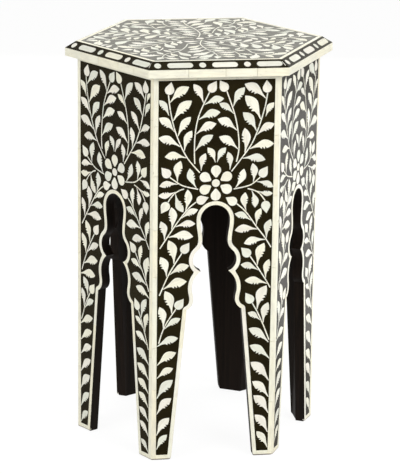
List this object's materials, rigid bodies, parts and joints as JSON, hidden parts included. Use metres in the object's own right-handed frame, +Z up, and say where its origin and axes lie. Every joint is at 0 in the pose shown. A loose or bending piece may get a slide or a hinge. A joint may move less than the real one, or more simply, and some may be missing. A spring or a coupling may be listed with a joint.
{
  "type": "bone inlay side table",
  "caption": "Hexagonal side table with a bevelled overhanging top and arch-cut sides, black resin inlaid all over with bone vines, flowers and edging strips.",
  "frame": {"origin": "on the floor, under the middle of the top", "axes": "+Z up; -Y out of the front side, which faces the camera in the picture; corners of the hexagon on +X and -X"},
  "size_m": [0.4, 0.3464, 0.6],
  "materials": {
    "painted_board": "satin",
    "joinery_wood": "matte",
    "resin": "gloss",
    "bone": "satin"
  },
  "bodies": {
    "root": {"side_board_front": "painted_board", "side_board_front_right": "painted_board", "side_board_rear_right": "painted_board", "side_board_rear": "painted_board", "side_board_rear_left": "painted_board", "side_board_front_left": "painted_board", "arch_edging_front": "bone", "arch_edging_front_right": "bone", "arch_edging_rear_right": "bone", "arch_edging_rear": "bone", "arch_edging_rear_left": "bone", "arch_edging_front_left": "bone", "corner_strips_front": "bone", "corner_strips_front_right": "bone", "corner_strips_rear_right": "bone", "corner_strips_rear": "bone", "corner_strips_rear_left": "bone", "corner_strips_front_left": "bone", "flower_front": "bone", "flower_front_right": "bone", "flower_rear_right": "bone", "flower_rear": "bone", "flower_rear_left": "bone", "flower_front_left": "bone", "panel_ground_front": "resin", "panel_ground_front_right": "resin", "panel_ground_rear_right": "resin", "panel_ground_rear": "resin", "panel_ground_rear_left": "resin", "panel_ground_front_left": "resin", "vine_front": "bone", "vine_front_right": "bone", "vine_rear_right": "bone", "vine_rear": "bone", "vine_rear_left": "bone", "vine_front_left": "bone", "mitre_splines": "joinery_wood", "corner_blocks": "painted_board", "head_strips": "bone", "foot_strips": "bone", "top_board": "painted_board", "rim_strips": "bone", "top_border": "bone", "top_ground": "resin", "bevel_ground": "resin", "bevel_dots": "bone", "bevel_bars": "bone", "top_vine": "bone"}
  },
  "joints": []
}
